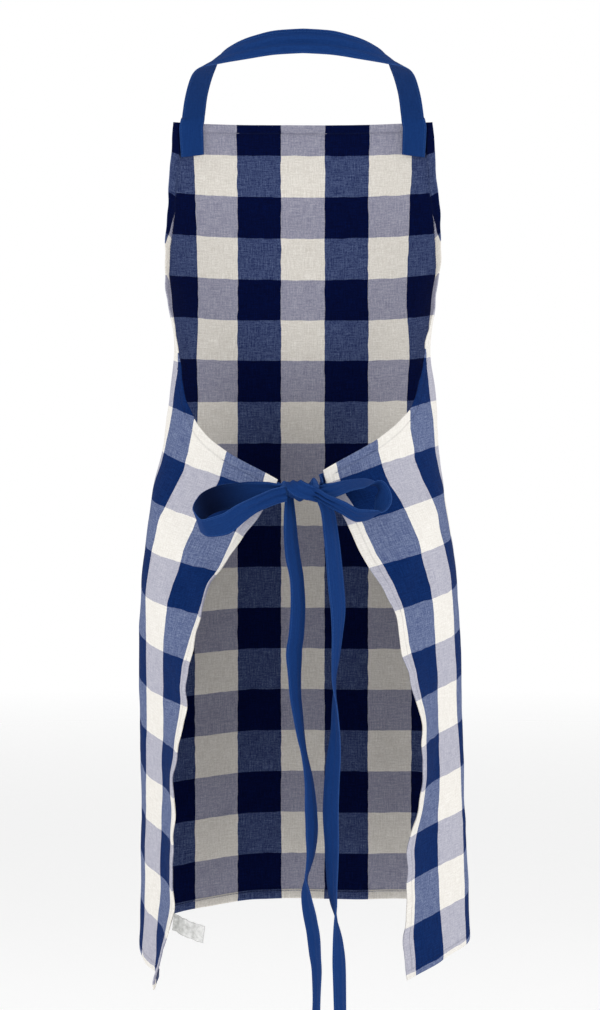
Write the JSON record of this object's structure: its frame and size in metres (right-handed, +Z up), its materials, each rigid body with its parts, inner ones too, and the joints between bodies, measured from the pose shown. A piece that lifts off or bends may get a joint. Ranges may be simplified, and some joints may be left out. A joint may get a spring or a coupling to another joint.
{
  "type": "bib apron",
  "caption": "Cotton bib apron in worn form: gingham-check bib and skirt wrapped to the back, tape neck strap, waist ties in a bow, and a small blank care label.",
  "frame": {"origin": "inner face of the neck strap at the back of the neck, where the apron hangs", "axes": "+Z up along the wearer, -Y out of the bib, +X to the wearer's left"},
  "size_m": [0.335, 0.284, 0.9569],
  "materials": {
    "check_cotton": "matt yarn-dyed woven check, off-white and navy",
    "navy_tape": "matt woven cotton tape",
    "label_white": "soft satin ribbon"
  },
  "bodies": {
    "root": {"apron_panel": "check_cotton", "neck_strap": "navy_tape", "waist_tie_left": "navy_tape", "waist_tie_right": "navy_tape", "bow_knot": "navy_tape", "bow_loop_left": "navy_tape", "bow_loop_right": "navy_tape", "tie_tail_left": "navy_tape", "tie_tail_right": "navy_tape", "care_label": "label_white"}
  },
  "joints": []
}
